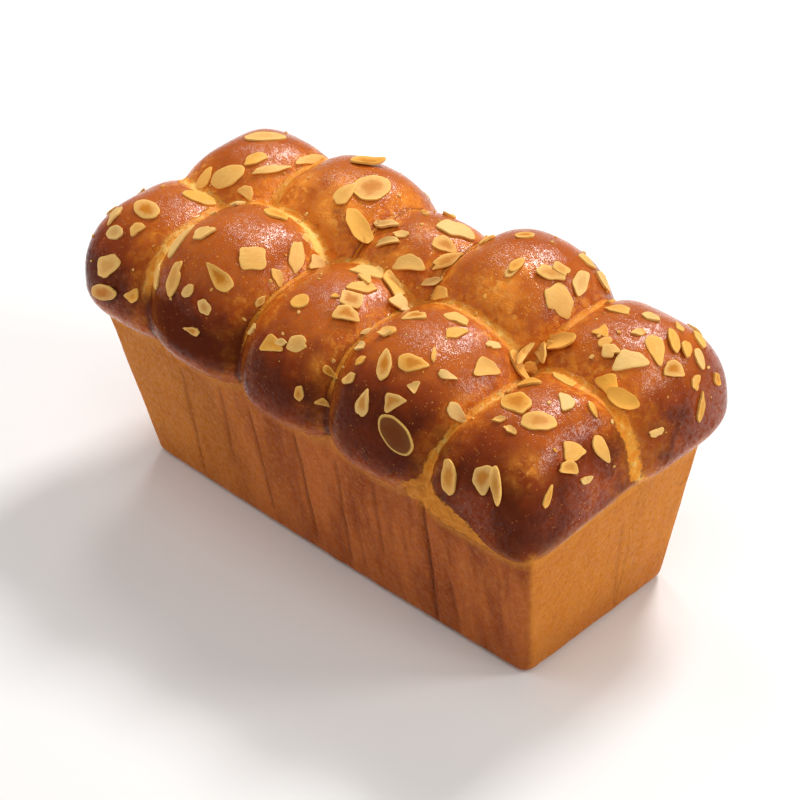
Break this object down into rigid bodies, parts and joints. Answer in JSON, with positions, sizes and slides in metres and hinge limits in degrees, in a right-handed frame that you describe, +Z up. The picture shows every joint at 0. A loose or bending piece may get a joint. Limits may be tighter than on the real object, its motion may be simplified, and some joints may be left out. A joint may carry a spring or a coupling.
{
  "type": "brioche loaf",
  "caption": "Whole brioche loaf baked in a tapered tin, with round lobes in two rows risen over the rim and almond flakes stuck to the crust.",
  "frame": {"origin": "middle of the flat base, on the surface the loaf stands on", "axes": "+X along the loaf, +Y across it, +Z up"},
  "size_m": [0.2719, 0.141, 0.142],
  "materials": {
    "baked_crust": "baked crust, glossy and dark on the lobes, golden and dull on the sides"
  },
  "bodies": {
    "root": {"loaf": "baked_crust"}
  },
  "joints": []
}
